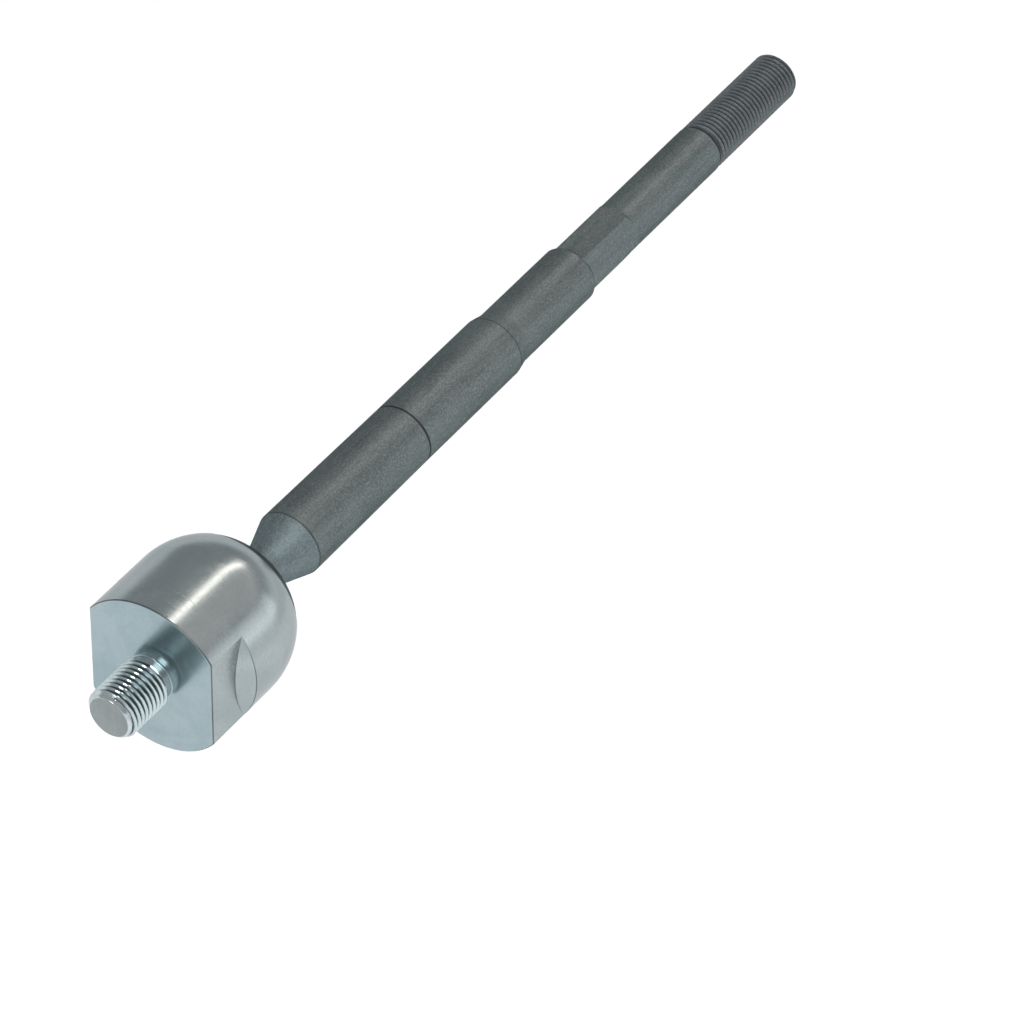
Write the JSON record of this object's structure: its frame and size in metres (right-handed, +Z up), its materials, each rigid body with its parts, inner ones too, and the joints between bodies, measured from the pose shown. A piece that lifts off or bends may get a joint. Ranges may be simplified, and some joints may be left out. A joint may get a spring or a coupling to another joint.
{
  "type": "inner tie rod",
  "caption": "Steering inner tie rod: threaded socket housing with spanner flats, a captured ball joint, and a stepped rod with a hexagon and an outer thread.",
  "frame": {"origin": "centre of the housing's front face, which seats on the end of the steering rack", "axes": "+X runs along the rod to its outer thread, the two spanner flats face +Y and -Y, and +Z is up"},
  "size_m": [0.3047, 0.044, 0.044],
  "materials": {
    "zinc_steel": "turned and zinc plated, satin",
    "dark_steel": "forged, phosphated and oiled, dull",
    "bearing_polymer": "moulded acetal, smooth"
  },
  "bodies": {
    "housing": {"housing": "zinc_steel", "bearing_cup": "bearing_polymer"},
    "swivel": {"bearing_ring": "bearing_polymer"},
    "rod": {"ball_rod": "dark_steel"}
  },
  "joints": [
    {"name": "swing_direction", "type": "hinge", "parent": "housing", "child": "swivel", "pos_m": [0.02638, 0, 0], "axis": [1, 0, 0], "continuous": true},
    {"name": "rod_swing", "type": "hinge", "parent": "swivel", "child": "rod", "pos_m": [0.02638, 0, 0], "axis": [0, 1, 0], "range_deg": [-25, 25]}
  ]
}
